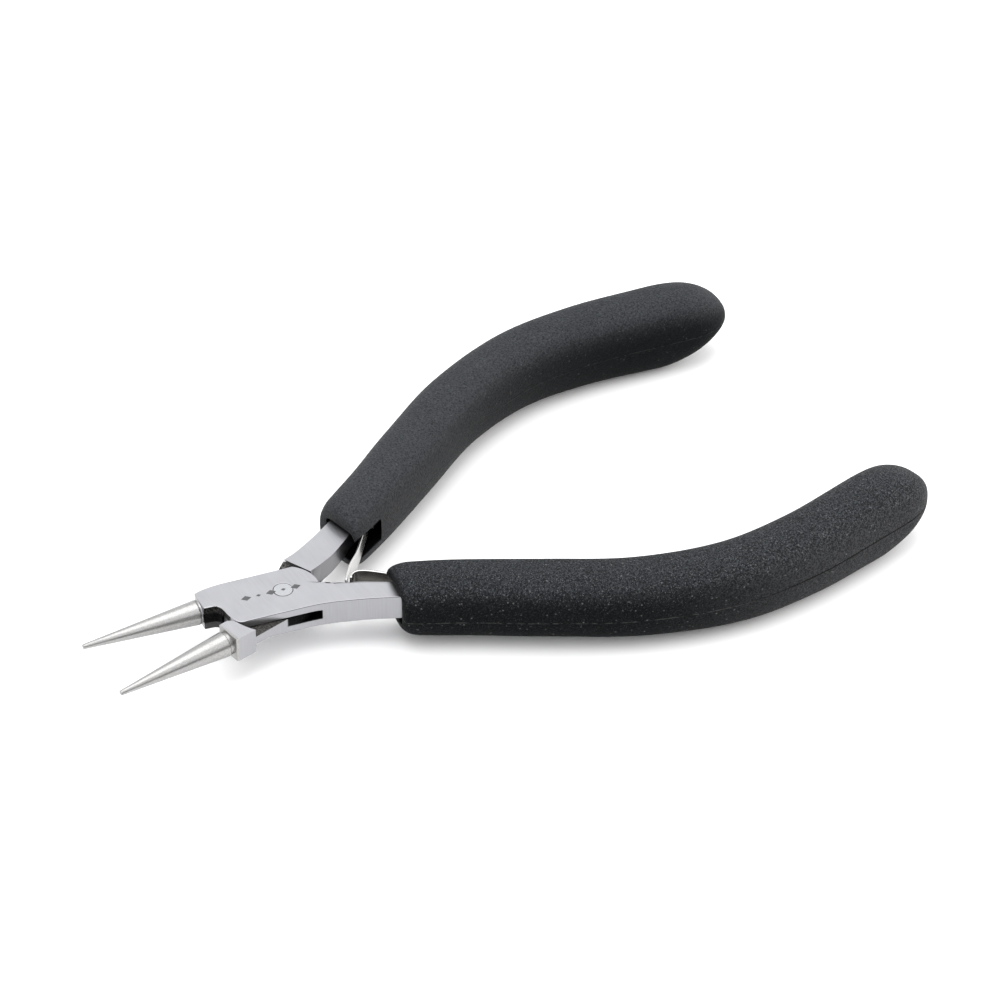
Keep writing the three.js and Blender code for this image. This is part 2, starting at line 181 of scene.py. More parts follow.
def mesh_object(name, verts, faces, side, materials, inside=None):
    """A mesh given in a side's closed frame in mm, placed in the row frame. The optional number for
    each point says how far it lies inside a hollow, from 0 to 1."""
    mesh = bpy.data.meshes.new(name)
    mesh.from_pydata([Vector(v) * MM for v in verts], [], faces)
    mesh.transform(PLACE[side])
    if inside is not None:
        mesh.attributes.new("inside", "FLOAT", "POINT").data.foreach_set("value", inside)
    for material in materials:
        mesh.materials.append(material)
    bm = bmesh.new()
    bm.from_mesh(mesh)
    bmesh.ops.remove_doubles(bm, verts=bm.verts, dist=1e-7)
    bmesh.ops.recalc_face_normals(bm, faces=bm.faces)
    bm.to_mesh(mesh)
    bm.free()
    mesh.polygons.foreach_set("use_smooth", [True] * len(mesh.polygons))
    piece = bpy.data.objects.new(name, mesh)
    SCENE.collection.objects.link(piece)
    return piece


def add_bevel(piece, width, segments=3, angle=35):
    bevel = piece.modifiers.new("edges", "BEVEL")
    bevel.width = width * MM
    bevel.segments = segments
    bevel.limit_method = "ANGLE"
    bevel.angle_limit = math.radians(angle)
    bevel.harden_normals = True
    return bevel


# ---------------------------------------------------------------- grips


def superellipse(half_width, half_thickness, count=720):
    turn = np.linspace(0, 2 * math.pi, count, endpoint=False)
    power = 2 / GRIP_POWER
    across = half_width * np.sign(np.cos(turn)) * np.abs(np.cos(turn)) ** power
    up = half_thickness * np.sign(np.sin(turn)) * np.abs(np.sin(turn)) ** power
    return np.stack([across, up], -1)


def even_points(polyline, count):
    """That many points at even distances along the polyline, without its end."""
    steps = np.hypot(*np.diff(polyline, axis=0).T)
    walked = np.concatenate([[0], np.cumsum(steps)])
    marks = np.linspace(0, walked[-1], count, endpoint=False)
    return np.stack([np.interp(marks, walked, polyline[:, i]) for i in (0, 1)], -1)


def split_ring(loop, slot_low, slot_high, slot_count, rest_count):
    """The loop's points, starting at the slot's lower edge on the inner side: first the ones that lie
    between the slot's edges, then the rest of the way round."""
    inner = loop[:, 0] > 0
    within = inner & (loop[:, 1] > slot_low) & (loop[:, 1] < slot_high)
    up = loop[within]
    up = up[np.argsort(up[:, 1])]
    low, high = (np.array([np.interp(z, up[:, 1], up[:, 0]), z]) for z in (slot_low, slot_high))
    between = even_points(np.vstack([low, up, high]), slot_count)
    above = 1e3 * ((loop[:, 1] < slot_high) | ~inner)
    start = int(np.argmin(np.hypot(*(loop - high).T) + above))
    turned = np.roll(loop, -start, axis=0)
    outside = ~np.roll(within, -start)
    around = np.vstack([high, turned[outside], low])
    return np.vstack([between, even_points(around, rest_count)])


def rounded_box(left, right, low, high, radius, count=12):
    loop = []
    corners = [(right, high, 0), (left, high, 90), (left, low, 180), (right, low, 270)]
    for x, y, start in corners:
        cx = x - math.copysign(radius, x - (left + right) / 2)
        cy = y - math.copysign(radius, y - (low + high) / 2)
        for k in range(count + 1):
            turn = math.radians(start + 90 * k / count)
            loop.append((cx + radius * math.cos(turn), cy + radius * math.sin(turn)))
    dense = np.array(loop + loop[:1])
    return even_points(dense, 720)


def zip_strip(one, other):
    """Triangles between two rows of points that start at the same point."""
    faces = []
    i = j = 0
    while i < len(one) - 1 or j < len(other) - 1:
        if j == len(other) - 1 or (i < len(one) - 1 and i / len(one) <= j / len(other)):
            faces.append((one[i], one[i + 1], other[j]))
            i += 1
        else:
            faces.append((one[i], other[j + 1], other[j]))
            j += 1
    return [face for face in faces if len(set(face)) == 3]


class GripShape:
    """The sections of one side's sleeve, by their distance behind its front plane."""

    def __init__(self, side):
        self.side = side
        self.route = grip_route()
        walked = np.linspace(0, 12, 241)
        middle_x = [self.route.at(distance)[0] for distance in walked]
        self.front = float(np.interp(GRIP_FRONT_X, middle_x, walked))
        self.length = self.route.length - self.front - GRIP_FIT
        heading = self.route.heading(self.front)
        self.slant = math.atan2(-heading[1], heading[0])

    def place(self, distance, across, up):
        """A point of the section at that distance."""
        at = self.route.at(self.front + distance)
        along = self.route.heading(self.front + distance)
        lean = math.tan(self.slant) * max(0.0, 1 - distance / FRONT_LEAN_LENGTH) ** FRONT_LEAN_POWER
        x = at[0] - along[1] * across + along[0] * -across * lean
        y = at[1] + along[0] * across + along[1] * -across * lean
        return (x, y, up)

    def section(self, distance):
        """Half width, height above and below the middle, and share of extra width on the outer side."""
        share = (self.front + distance) / self.route.length
        to_end = self.length - distance
        in_plan = 1 - min(to_end / GRIP_END_WIDTH_ROUNDING, 1)
        from_side = 1 - min(to_end / GRIP_END_THICKNESS_ROUNDING, 1)
        in_plan = math.sqrt(max(0.0, 1 - in_plan**2))
        above, below = math.sqrt(max(0.0, 1 - from_side**2)), 1 - from_side**GRIP_END_UNDERCUT
        fall = 1 - math.sqrt(max(0.0, 1 - (1 - min(distance / FRONT_ROUNDING, 1)) ** 2))
        taper = FRONT_TAPER * max(0.0, 1 - distance / FRONT_TAPER_LENGTH) ** 2
        half_width = (spline_point(GRIP_HALF_WIDTH, share) - GRIP_FIT) * in_plan - FRONT_NARROWING * fall
        full = spline_point(GRIP_HALF_THICKNESS, share) - GRIP_FIT
        above, below = (full * rounding - FRONT_DROP * fall - taper for rounding in (above, below))
        flare = FRONT_FLARE * max(0.0, 1 - distance / FRONT_FLARE_LENGTH) ** FRONT_FLARE_POWER
        return half_width, above, below, flare / max(half_width, 1)

    def skin_ring(self, distance, inset=0.0):
        half_width, above, below, flare = self.section(distance)
        loop = superellipse(max(half_width - inset, 1e-3), 1.0)
        if self.side == "inner":  # turned over, so that both grips sit the same way up
            above, below = below, above
        loop[:, 1] *= np.where(loop[:, 1] > 0, max(above - inset, 1e-3), max(below - inset, 1e-3))
        loop[:, 0] = np.where(loop[:, 0] < 0, loop[:, 0] * (1 + flare), loop[:, 0])
        slot = min(SLOT_HALF_HEIGHT, 0.45 * (min(above, below) - inset))
        return split_ring(loop, -slot, slot, SLOT_COUNT, REST_COUNT)

    def hollow_ring(self, outset=0.0):
        low, high = MOUTH_LOW - outset, MOUTH_HIGH + outset
        if self.side == "inner":
            low, high = -high, -low
        box = rounded_box(MOUTH_OUTER - outset, MOUTH_INNER + outset, low, high, MOUTH_CORNER)
        slot = SLOT_HALF_HEIGHT + SLOT_UNDERCUT
        slot_low, slot_high = max(-slot, low + SLOT_MARGIN), min(slot, high - SLOT_MARGIN)
        return split_ring(box, slot_low, slot_high, SLOT_COUNT, REST_COUNT)

    def rings(self):
        """Rings of points from the bottom of the hollow out to its mouth, over the front edge and back
        along the skin."""
        rings = [(distance, self.hollow_ring()) for distance in HOLLOW_RINGS]
        rings.append((0.12, self.hollow_ring(0.05)))
        rings.append((0.0, self.hollow_ring(0.2)))
        rings.append((0.0, self.skin_ring(0.0, LIP_RADIUS)))
        rings.append((0.07, self.skin_ring(0.07, LIP_RADIUS * 0.3)))
        shares = [1 - (1 - k / SKIN_RINGS) ** SKIN_CROWDING for k in range(1, SKIN_RINGS)]
        far = [SLOT_LENGTH + (self.length - SLOT_LENGTH) * share for share in shares]
        rings += [(distance, self.skin_ring(distance)) for distance in NEAR_RINGS + far]
        return [[self.place(distance, a, z) for a, z in ring] for distance, ring in rings]


def ring_faces(total):
    """Faces between that many rings, left out where the slot cuts through, with both ends closed. The
    points of the ends come after all the rings: first the tip, then the middle of the hollow's floor."""
    tip = total * RING_COUNT
    floor = tip + 1
    last = tip - RING_COUNT
    faces = []
    for k in range(total - 1):
        here, beyond = k * RING_COUNT, (k + 1) * RING_COUNT
        for j in range(RING_COUNT):
            if SLOT_FIRST <= k < SLOT_LAST and j < SLOT_COUNT:
                continue
            n = (j + 1) % RING_COUNT
            faces.append((here + j, here + n, beyond + n, beyond + j))
    for j in range(RING_COUNT):
        n = (j + 1) % RING_COUNT
        faces.append((floor, n, j))
        faces.append((last + j, last + n, tip))
    return faces


def slot_walls():
    """The slot's two long walls and its rear wall, which join the hollow to the skin."""
    faces = []
    middle = FRONT_SKIN - SLOT_FIRST
    for j in (0, SLOT_COUNT):
        wall = [k * RING_COUNT + j for k in range(SLOT_FIRST, SLOT_LAST + 1)]
        faces.extend(zip_strip(wall[: middle + 1][::-1], wall[middle:]))
    within, without = SLOT_FIRST * RING_COUNT, SLOT_LAST * RING_COUNT
    for j in range(SLOT_COUNT):
        faces.append((within + j, within + j + 1, without + j + 1, without + j))
    return faces


def grip_mesh(name, side, materials):
    shape = GripShape(side)
    rings = shape.rings()
    verts = [point for ring in rings for point in ring]
    verts += [shape.place(shape.length, 0, 0), shape.place(HOLLOW_DEPTH, 0, 0)]
    # the points in the hollow, which the rubber paints near black as shade
    in_hollow = len(HOLLOW_RINGS) * RING_COUNT
    inside = [1.0] * in_hollow + [0.0] * (len(verts) - in_hollow - 1) + [1.0]
    return mesh_object(name, verts, ring_faces(len(rings)) + slot_walls(), side, materials, inside)


# ---------------------------------------------------------------- leaf springs

LEAF_THICKNESS = 0.4
LEAF_WIDTH = 3.0
LEAF_SEAT = np.array([23.9, -6.13])  # middle of the riveted foot
LEAF_SEAT_ANGLE = math.radians(-20.5)
LEAF_FOOT = 1.6  # from the rivet to the foot's rear end
LEAF_TOE = 0.8 * LEAF_FOOT  # from the rivet to where the arm bends away
LEAF_EDGE = 0.09
LEAF_STEPS = 110
LEAF_ARMS = {
    # the outer lever's leaf ends in a curl, and the inner lever's slides on it
    "outer": [
        (21.7, -4.9), (17.9, -1.5), (15.3, 0.3), (14.1, 0.95),
        (13.1, 1.2), (12.2, 0.95), (11.7, 0.35), (11.55, -0.1),
    ],
    "inner": [(21.7, -4.9), (18.6, -2.45), (15.7, -0.15), (12.6, 1.75), (9.8, 4.08)],
}


def bezier(p0, p1, p2, count):
    t = np.linspace(0, 1, count)[:, None]
    return (1 - t) ** 2 * p0 + 2 * (1 - t) * t * p1 + t**2 * p2


def leaf_route(side):
    along = np.array([math.cos(LEAF_SEAT_ANGLE), math.sin(LEAF_SEAT_ANGLE)])
    heel = LEAF_SEAT + along * LEAF_FOOT
    toe = LEAF_SEAT - along * LEAF_TOE
    arm = np.array([spline_point(LEAF_ARMS[side], i / 160) for i in range(161)])
    bend = bezier(toe, toe - along * 0.5, arm[0], 12)
    return Route(np.vstack([heel, toe, bend[1:], arm[1:]]))


def leaf_strip(name, side, materials):
    """A strip of spring steel with slightly rounded edges, bent along its route."""
    route = leaf_route(side)
    across, up = LEAF_THICKNESS / 2, LEAF_WIDTH / 2
    section = rounded_box(-across, across, -up, up, LEAF_EDGE)
    section = even_points(np.vstack([section, section[:1]]), 72)
    verts, faces = [], []
    for k in range(LEAF_STEPS + 1):
        distance = route.length * k / LEAF_STEPS
        at, along = route.at(distance), route.heading(distance, 0.12)
        from_end = min(distance, route.length - distance)
        squeeze = 1 - 0.03 * max(0.0, 1 - from_end / 0.25) ** 2
        for a, z in section * squeeze:
            verts.append((at[0] - along[1] * a, at[1] + along[0] * a, z))
    ring = len(section)
    for k in range(LEAF_STEPS):
        for j in range(ring):
            n = (j + 1) % ring
            faces.append((k * ring + j, k * ring + n, (k + 1) * ring + n, (k + 1) * ring + j))
    faces.append(tuple(range(ring)))
    faces.append(tuple(range(LEAF_STEPS * ring, (LEAF_STEPS + 1) * ring)))
    return mesh_object(name, verts, faces, side, materials)


# ---------------------------------------------------------------- printed ornament

ORNAMENT_MIDDLE = (-2.0, 0.4)  # from the pivot, with the pliers open
ORNAMENT_STEP = 2.1
ORNAMENT_HALF_LENGTH = 0.85
ORNAMENT_HALF_WIDTH = 0.6
SMALL_SHARE = 0.5  # of every second lozenge
PRINT_LOW = 0.002
PRINT_HIGH = 0.02


def make_ornament(material):
    """A plain row of large and small lozenges, printed along the outer lever without frame or lettering."""
    verts, faces = [], []
    for k in range(-2, 3):
        size = 1 if k % 2 == 0 else SMALL_SHARE
        length, width = ORNAMENT_HALF_LENGTH * size, ORNAMENT_HALF_WIDTH * size
        corners = [(length, 0), (0, width), (-length, 0), (0, -width)]
        start = len(verts)
        for z in (PRINT_HIGH, PRINT_LOW):
            for x, y in corners:
                at = Vector((k * ORNAMENT_STEP + x, y, 0))
                at.rotate(Matrix.Rotation(-HALF_OPENING, 3, "Z"))
                at += Vector((*ORNAMENT_MIDDLE, z))
                verts.append(at * MM + Vector((0, 0, LEVER_HIGH.z)))
        faces.append([start + j for j in range(4)])
        faces.append([start + 7 - j for j in range(4)])
        for j in range(4):
            n = (j + 1) % 4
            faces.append((start + j, start + 4 + j, start + 4 + n, start + n))
    mesh = bpy.data.meshes.new("ornament_row")
    mesh.from_pydata(verts, [], faces)
    mesh.materials.append(material)
    piece = bpy.data.objects.new("ornament_row", mesh)
    SCENE.collection.objects.link(piece)
    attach(piece, "outer_half")


# ---------------------------------------------------------------- materials


class Nodes:
    """A Principled material and short calls to wire nodes into it."""

    def __init__(self, name):
        self.material = bpy.data.materials.new(name)
        self.material.use_nodes = True
        self.tree = self.material.node_tree
        self.shader = self.tree.nodes["Principled BSDF"]
        self.place = self.add("ShaderNodeTexCoord").outputs["Object"]

    def add(self, kind, **settings):
        node = self.tree.nodes.new(kind)
        for key, value in settings.items():
            setattr(node, key, value)
        return node

    def link(self, source, target):
        self.tree.links.new(source, target)

    def mapped(self, scale=(1, 1, 1), turn=0.0):
        node = self.add("ShaderNodeMapping")
        node.inputs["Rotation"].default_value = (0, 0, turn)
        node.inputs["Scale"].default_value = scale
        self.link(self.place, node.inputs["Vector"])
        return node.outputs["Vector"]

    def noise(self, size, detail=2.0, roughness=0.5, vector=None):
        """Noise whose features are about size mm across."""
        node = self.add("ShaderNodeTexNoise")
        node.inputs["Scale"].default_value = 1 / (size * MM)
        node.inputs["Detail"].default_value = detail
        node.inputs["Roughness"].default_value = roughness
        self.link(vector or self.place, node.inputs["Vector"])
        return node.outputs["Fac"]

    def voronoi(self, size):
        """Distance from the nearest of many spots that lie about size mm apart."""
        node = self.add("ShaderNodeTexVoronoi")
        node.inputs["Scale"].default_value = 1 / (size * MM)
        self.link(self.place, node.inputs["Vector"])
        return node.outputs["Distance"]

    def remap(self, value, low, high, to_low=0.0, to_high=1.0, smooth=False):
        node = self.add("ShaderNodeMapRange", interpolation_type="SMOOTHSTEP" if smooth else "LINEAR")
        for key, number in (("From Min", low), ("From Max", high), ("To Min", to_low), ("To Max", to_high)):
            node.inputs[key].default_value = number
        self.link(value, node.inputs["Value"])
        return node.outputs["Result"]

    def math(self, operation, a, b=None):
        node = self.add("ShaderNodeMath", operation=operation)
        for socket, value in zip(node.inputs, (a, b)):
            if value is None:
                continue
            if isinstance(value, (int, float)):
                socket.default_value = value
            else:
                self.link(value, socket)
        return node.outputs[0]

    def product(self, first, *others):
        for other in others:
            first = self.math("MULTIPLY", first, other)
        return first

    def split(self, vector):
        """A vector's numbers, by axis."""
        node = self.add("ShaderNodeSeparateXYZ")
        self.link(vector, node.inputs[0])
        return node.outputs

    def normal(self):
        """The surface's direction, by axis."""
        return self.split(self.add("ShaderNodeNewGeometry").outputs["Normal"])

    def from_height(self, z, height):
        return self.math("ABSOLUTE", self.math("SUBTRACT", z, height))

    def mix_colour(self, share, a, b):
        node = self.add("ShaderNodeMix", data_type="RGBA")
        for socket, value in ((node.inputs["Factor"], share), (node.inputs["A"], a), (node.inputs["B"], b)):
            if isinstance(value, tuple):
                socket.default_value = (*value, 1)
            elif isinstance(value, (int, float)):
                socket.default_value = value
            else:
                self.link(value, socket)
        return node.outputs["Result"]

    def mix_value(self, share, a, b):
        node = self.add("ShaderNodeMix", data_type="FLOAT")
        for socket, value in zip((node.inputs[0], node.inputs[2], node.inputs[3]), (share, a, b)):
            self.link(value, socket)
        return node.outputs[0]

    def colour(self, socket):
        self.link(socket, self.shader.inputs["Base Color"])

    def roughness(self, socket):
        self.link(socket, self.shader.inputs["Roughness"])

    def bump(self, height, depth, strength=1.0, under=None):
        """Adds a bump whose full height is depth mm; returns its normal, which the shader takes."""
        node = self.add("ShaderNodeBump")
        node.inputs["Strength"].default_value = strength
        node.inputs["Distance"].default_value = depth * MM
        self.link(height, node.inputs["Height"])
        if under is not None:
            self.link(under, node.inputs["Normal"])
        self.link(node.outputs["Normal"], self.shader.inputs["Normal"])
        return node.outputs["Normal"]


def ground_finish(nodes, turn):
    """Steel ground across its length: its colour, roughness and grain height. The turn brings the
    grain square to that side's lever."""
    grain = nodes.noise(0.16, 2, 0.5, nodes.mapped((1, 0.03, 0.03), turn))
    cloud = nodes.noise(5, 3)
    tone = nodes.mix_colour(nodes.remap(cloud, 0.3, 0.7), (0.371, 0.371, 0.388), (0.391, 0.391, 0.409))
    colour = nodes.mix_colour(nodes.remap(grain, 0.35, 0.65, 0, 0.4), tone, (0.446, 0.448, 0.466))
    fine, broad = nodes.remap(grain, 0.3, 0.7, 0.27, 0.33), nodes.remap(cloud, 0.3, 0.7, 0.0, 0.05)
    return colour, nodes.math("ADD", fine, broad), grain


# Where the levers' finish and painted shade change, in mm along and across each lever from the pivot
JAW_ROOT = {"outer": -13.6, "inner": -12.9}
TONGUE_RADIUS = 5.6
TONGUE_DEPTH = 0.34  # of its top below the joint's face
TONGUE_HALF_HEIGHT = 0.85
LEVER_SLOT_HALF_HEIGHT = 0.86
LEVER_SLOT_RADIUS = 7.3
NOTCH_REAR = -9.9
UNLIT = (0.004, 0.004, 0.004)


class LeverSteel(Nodes):
    """A lever's finish and painted shade, told by the place on it."""

    def __init__(self, name, side):
        super().__init__(name)
        self.shader.inputs["Metallic"].default_value = 1.0
        self.turn = HALF_OPENING if side == "outer" else -HALF_OPENING
        position = self.split(self.mapped(turn=self.turn))
        self.x, self.y, self.z = (position[axis] for axis in "XYZ")
        normal = self.normal()
        self.normal_y = normal["Y"]
        self.lying = self.math("ABSOLUTE", normal["Z"])
        self.from_middle = self.from_height(self.z, METAL_MIDDLE)
        squares = [self.math("MULTIPLY", axis, axis) for axis in (self.x, self.y)]
        self.radius = self.math("SQRT", self.math("ADD", *squares))
        self.jaw_end = JAW_ROOT[side] * MM
        self.spots = self.noise(0.3, 5, 0.7)
        self.fine_spots = self.noise(0.2, 3, 0.6)

    def tongue(self):
        """Where the inner lever's tongue is rough and painted dark as the shade inside the joint, that dark
        colour, and where it lies deep in the slot, which is painted black as shade.
        """
        depth = METAL / 2 - TONGUE_DEPTH * MM
        below_face = self.remap(self.from_middle, depth, METAL / 2 - 0.2 * MM, 1, 0, True)
        within = self.remap(self.radius, TONGUE_RADIUS * MM, (TONGUE_RADIUS + 0.15) * MM, 1, 0)
        top = self.product(below_face, self.remap(self.lying, 0.2, 0.45, 0, 1, True))
        height = TONGUE_HALF_HEIGHT * MM
        end = self.product(within, self.remap(self.from_middle, height, height + 0.1 * MM, 1, 0))
        speckle = self.remap(self.spots, 0.38, 0.66)
        # painted shade: rough, speckled steel darkened to stand for the shade inside the joint
        dark = self.mix_colour(speckle, (0.023, 0.0215, 0.020), (0.20, 0.192, 0.185))
        # painted shade: the tongue fades to black deep in the slot, where light doesn't reach
        deep = self.product(self.remap(self.x, -5.6 * MM, -3.2 * MM, 0, 1, True), below_face, within)
        return self.math("MAXIMUM", top, end), dark, deep

    def slot_and_notch(self):
        """Where the outer lever is rough and painted as shade, and that colour: the slot painted black, the
        notch mottled dark above and mid-grey below.
        """
        height = LEVER_SLOT_HALF_HEIGHT * MM
        in_slot = self.remap(self.from_middle, height, height + 0.04 * MM, 1, 0)
        round_pivot = self.remap(self.radius, LEVER_SLOT_RADIUS * MM, (LEVER_SLOT_RADIUS + 0.1) * MM, 1, 0)
        slot = self.product(in_slot, self.math("MAXIMUM", round_pivot, self.remap(self.x, 0, -0.1 * MM)))
        beside_jaw = self.remap(self.x, NOTCH_REAR * MM, (NOTCH_REAR - 0.2) * MM)
        below_jaw = self.remap(self.y, 0.25 * MM, 0.15 * MM)
        notch = self.product(beside_jaw, below_jaw, self.remap(self.lying, 0.5, 0.3))
        # painted shade in the notch: mottled dark in its upper part, mid-grey lower down
        speckle = self.remap(self.spots, 0.42, 0.7)
        mottled = self.mix_colour(speckle, (0.005, 0.005, 0.005), (0.092, 0.088, 0.085))
        lower = self.remap(self.z, -3.25 * MM, -3.1 * MM, 1, 0)
        notch_colour = self.mix_colour(lower, mottled, (0.081, 0.079, 0.080))
        # the slot is painted black as shade
        return self.math("MAXIMUM", slot, notch), self.mix_colour(slot, notch_colour, UNLIT)

    def dark_edge(self, bright):
        """A thin dark line painted on the outer edge along the joint and the arm, on the bevels that face
        the near side: a painted dark reflection.
        """
        edge = self.product(self.remap(self.lying, 0.3, 0.5), self.remap(self.lying, 0.95, 0.8))
        edge = self.product(edge, self.remap(self.normal_y, -0.1, -0.25))
        edge = self.product(edge, self.remap(self.x, -9.2 * MM, -7.8 * MM, 0, 0.92))
        return self.mix_colour(edge, bright, (0.034, 0.034, 0.035))

    def edge_highlight(self, bright):
        # painted highlight: the inner lever's bevels are painted pale, as they catch the overhead light
        highlight_share = self.product(self.remap(self.lying, 0.3, 0.5), self.remap(self.lying, 0.9, 0.8), 0.8)
        return self.mix_colour(highlight_share, bright, (0.60, 0.596, 0.588))

    def shade_sides(self, bright, at_joint, along_arm):
        """Painted shade: the sides are painted darker than the flat faces, most of all along the arm."""
        side_shade = self.remap(self.x, -2 * MM, 6 * MM, at_joint, along_arm)
        standing = self.remap(self.lying, 0.4, 0.15)
        return self.mix_colour(self.product(standing, side_shade), bright, (0.015, 0.015, 0.015))

    def turned_jaw(self, bright):
        """The jaws are turned rather than ground, a little warmer in tone and finely mottled. Also
        tells where they are."""
        on_jaw = self.remap(self.x, self.jaw_end - 0.1 * MM, self.jaw_end, 1, 0)
        speckle = self.remap(self.fine_spots, 0.36, 0.64)
        turned = self.mix_colour(speckle, (0.288, 0.285, 0.281), (0.396, 0.392, 0.385))
        return self.mix_colour(on_jaw, bright, turned), on_jaw


def lever_steel(name, side):
    """Ground steel, left rough on the inner lever's tongue, in the outer lever's slot and in the notch
    behind its jaw, and painted dark there as shade; deep in the slot the tongue is painted black."""
    nodes = LeverSteel(name, side)
    bright, satin, grain = ground_finish(nodes, nodes.turn)
    if side == "outer":
        hidden, dark = nodes.slot_and_notch()
        # painted shade on the sides, over the painted dark line on the outer edge
        bright = nodes.shade_sides(nodes.dark_edge(bright), 0.15, 0.21)
    else:
        hidden, dark, deep = nodes.tongue()
        # a painted highlight on the bevels, then painted shade on the sides
        bright = nodes.shade_sides(nodes.edge_highlight(bright), 0.17, 0.40)
    bright, on_jaw = nodes.turned_jaw(bright)
    behind_jaw = nodes.remap(nodes.x, nodes.jaw_end, nodes.jaw_end + 0.2 * MM)
    rough_and_shaded = nodes.product(hidden, behind_jaw)
    # rough steel, painted dark as shade
    finished = nodes.mix_colour(rough_and_shaded, bright, dark)
    if side == "inner":
        # painted shade: black deep in the slot
        finished = nodes.mix_colour(deep, finished, UNLIT)
    nodes.colour(finished)
    nodes.roughness(nodes.mix_value(rough_and_shaded, satin, nodes.remap(nodes.spots, 0.3, 0.7, 0.6, 0.42)))
    first = nodes.bump(nodes.product(nodes.spots, rough_and_shaded), 0.3, 1.0)
    second = nodes.bump(nodes.product(nodes.fine_spots, on_jaw), 0.006, 0.7, first)
    nodes.bump(grain, 0.002, 0.6, second)
    return nodes.material


def spring_steel_finish(name, dark, pale):
    """Rolled spring steel, brighter along its sheared edges."""
    nodes = Nodes(name)
    nodes.shader.inputs["Metallic"].default_value = 1.0
    grain = nodes.noise(0.07, 3, 0.6, nodes.mapped((0.06, 0.06, 1)))
    cloud = nodes.noise(2.5, 3)
    face = nodes.mix_colour(nodes.remap(cloud, 0.3, 0.7), dark, pale)
    from_middle = nodes.from_height(nodes.split(nodes.place)["Z"], METAL_MIDDLE)
    edge = nodes.remap(from_middle, (LEAF_WIDTH / 2 - 0.16) * MM, (LEAF_WIDTH / 2 - 0.06) * MM, 0, 1, True)
    nodes.colour(nodes.mix_colour(edge, face, (0.60, 0.595, 0.58)))
    nodes.roughness(nodes.remap(grain, 0.3, 0.7, 0.18, 0.28))
    nodes.bump(grain, 0.002, 0.5)
    return nodes.material


def print_enamel(name, colour, deeper):
    """Screen-printed enamel, slightly uneven."""
    nodes = Nodes(name)
    nodes.colour(nodes.mix_colour(nodes.remap(nodes.noise(0.8, 4, 0.6), 0.35, 0.65), colour, deeper))
    nodes.roughness(nodes.remap(nodes.noise(0.3, 3), 0.3, 0.7, 0.35, 0.5))
    nodes.bump(nodes.noise(0.25, 2), 0.004, 0.6)
    return nodes.material


def turned_steel(name):
    nodes = Nodes(name)
    nodes.shader.inputs["Metallic"].default_value = 1.0
    grain = nodes.noise(0.12, 3, 0.6, nodes.mapped((1, 0.2, 0.2)))
    tone = nodes.remap(grain, 0.3, 0.7)
    nodes.colour(nodes.mix_colour(tone, (0.385, 0.392, 0.408), (0.477, 0.485, 0.50)))
    nodes.roughness(nodes.remap(nodes.noise(1.2), 0.3, 0.7, 0.28, 0.42))
    nodes.bump(grain, 0.003, 0.5)
    return nodes.material


